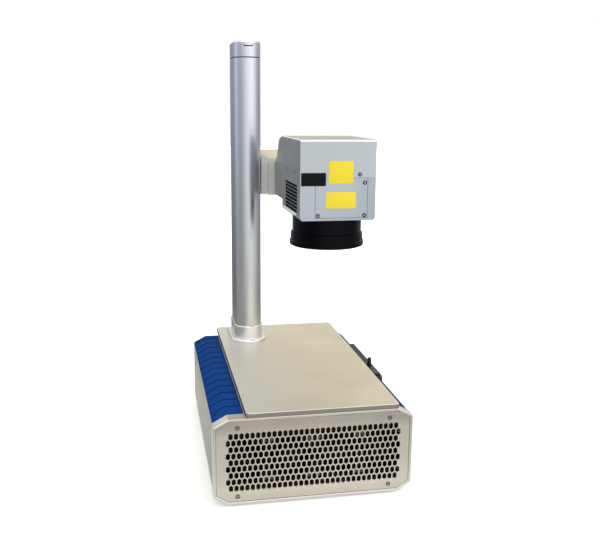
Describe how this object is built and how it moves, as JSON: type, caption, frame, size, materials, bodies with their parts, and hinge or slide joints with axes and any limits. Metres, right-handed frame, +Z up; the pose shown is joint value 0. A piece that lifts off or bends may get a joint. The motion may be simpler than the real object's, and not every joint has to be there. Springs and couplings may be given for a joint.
{
  "type": "laser marking machine",
  "caption": "Benchtop laser marking machine: flat cabinet with a perforated front, work plate, upright lift column and a marking head with a downward round lens.",
  "frame": {"origin": "on the surface the feet stand on, under the middle of the machine's outline", "axes": "+Z up, +Y from the front bezel towards the rear panel, +X to the viewer's right when facing the front"},
  "size_m": [0.26, 0.4032, 0.5961],
  "materials": {
    "bezel_aluminium": "bead-blasted, polished edges",
    "grille_aluminium": "satin",
    "screw_steel": "turned",
    "screw_black": "black oxide",
    "trim_blue": "blue anodised, satin",
    "cabinet_paint": "light powder coat",
    "foot_rubber": "matte",
    "black_plastic": "fine grain",
    "rocker_red": "moulded",
    "steel_bright": "ground",
    "bare_aluminium": "milled",
    "plate_champagne": "champagne anodised",
    "black_sheet": "black coat",
    "black_anodised": "black anodised",
    "board_green": "solder mask",
    "brass_turned": "turned",
    "console_grey": "ribbed",
    "column_aluminium": "satin, drawn lengthwise",
    "arm_paint": "light powder coat",
    "head_grey": "satin silver-grey",
    "cover_grey": "satin silver-grey",
    "strip_polished": "polished",
    "filter_black": "foam mat",
    "lens_glass": "coated",
    "mirror_coated": "coated",
    "tag_yellow": "printed film"
  },
  "bodies": {
    "base": {"front_bezel": "bezel_aluminium", "grille_plate": "grille_aluminium", "grille_screws": "screw_steel", "trim_left": "trim_blue", "trim_right": "trim_blue", "trim_screws": "screw_black", "side_panel_left": "cabinet_paint", "side_panel_right": "cabinet_paint", "floor_tray": "cabinet_paint", "feet": "foot_rubber", "rear_panel": "cabinet_paint", "mains_inlet": "black_plastic", "rocker_frame": "black_plastic", "data_sockets": "steel_bright", "deck_rails": "bare_aluminium", "plate_screws": "screw_steel", "work_plate": "plate_champagne", "fan_plate": "black_sheet", "fan_frames": "black_plastic", "laser_source": "black_anodised", "power_supply": "bare_aluminium", "control_board": "board_green", "board_standoffs": "brass_turned", "console_housing": "black_plastic", "console_face": "console_grey", "column_foot": "column_aluminium", "column_collar": "column_aluminium", "column_profile": "column_aluminium", "column_cap": "column_aluminium", "lift_motor": "black_sheet", "motor_block": "bare_aluminium", "guide_rods": "steel_bright", "top_block": "bare_aluminium", "top_bearing": "steel_bright"},
    "lift": {"carriage": "bare_aluminium", "head_arm": "arm_paint", "head_floor": "head_grey", "side_strips": "strip_polished", "head_shell": "head_grey", "front_panel": "head_grey", "head_screws": "screw_steel", "louvre_filters": "filter_black", "top_cover": "cover_grey", "rear_block": "head_grey", "rear_cover": "cover_grey", "lens_barrel": "black_anodised", "lens_ring": "black_anodised", "lens_glass": "lens_glass", "galvo_mount": "black_anodised", "tag_plates": "tag_yellow"},
    "spindle": {"lead_screw": "steel_bright"},
    "fan_1": {"fan_rotor_1": "black_plastic"},
    "fan_2": {"fan_rotor_2": "black_plastic"},
    "fan_3": {"fan_rotor_3": "black_plastic"},
    "fan_4": {"fan_rotor_4": "black_plastic"},
    "scan_x": {"mirror_x": "mirror_coated"},
    "scan_y": {"mirror_y": "mirror_coated"},
    "lever": {"toggle_lever": "black_plastic"},
    "button": {"push_button": "black_plastic"},
    "rocker": {"mains_rocker": "rocker_red"}
  },
  "joints": [
    {"name": "head_lift", "type": "slide", "parent": "base", "child": "lift", "axis": [0, 0, 1], "range_m": [-0.16, 0.135]},
    {"name": "spindle_turn", "type": "hinge", "parent": "base", "child": "spindle", "pos_m": [-0.043, 0.1434, 0.1], "axis": [0, 0, 1], "continuous": true},
    {"name": "fan_1_spin", "type": "hinge", "parent": "base", "child": "fan_1", "pos_m": [-0.09, -0.19, 0.05925], "axis": [0, 1, 0], "continuous": true},
    {"name": "fan_2_spin", "type": "hinge", "parent": "base", "child": "fan_2", "pos_m": [-0.03, -0.19, 0.05925], "axis": [0, 1, 0], "continuous": true},
    {"name": "fan_3_spin", "type": "hinge", "parent": "base", "child": "fan_3", "pos_m": [0.03, -0.19, 0.05925], "axis": [0, 1, 0], "continuous": true},
    {"name": "fan_4_spin", "type": "hinge", "parent": "base", "child": "fan_4", "pos_m": [0.09, -0.19, 0.05925], "axis": [0, 1, 0], "continuous": true},
    {"name": "mirror_x_scan", "type": "hinge", "parent": "lift", "child": "scan_x", "pos_m": [0.0705, -0.0236, 0.3875], "axis": [0, 0, 1], "range_deg": [-12, 12]},
    {"name": "mirror_y_scan", "type": "hinge", "parent": "lift", "child": "scan_y", "pos_m": [0.0525, -0.0236, 0.3875], "axis": [0, 1, 0], "range_deg": [-12, 12]},
    {"name": "lever_tilt", "type": "hinge", "parent": "base", "child": "lever", "pos_m": [0.1226, -0.0206, 0.1141], "axis": [1, 0, 0], "range_deg": [-14, 14], "stiffness_Nm_per_rad": 0.02},
    {"name": "button_press", "type": "slide", "parent": "base", "child": "button", "axis": [0, 0, -1], "range_m": [0, 0.0018], "stiffness_N_per_m": 250},
    {"name": "rocker_tilt", "type": "hinge", "parent": "base", "child": "rocker", "pos_m": [-0.048, 0.1714, 0.0585], "axis": [0, 0, 1], "range_deg": [0, 14]}
  ],
  "couplings": [
    {"joint": "spindle_turn", "follows": "head_lift", "rad_per_m": 1570.8}
  ]
}
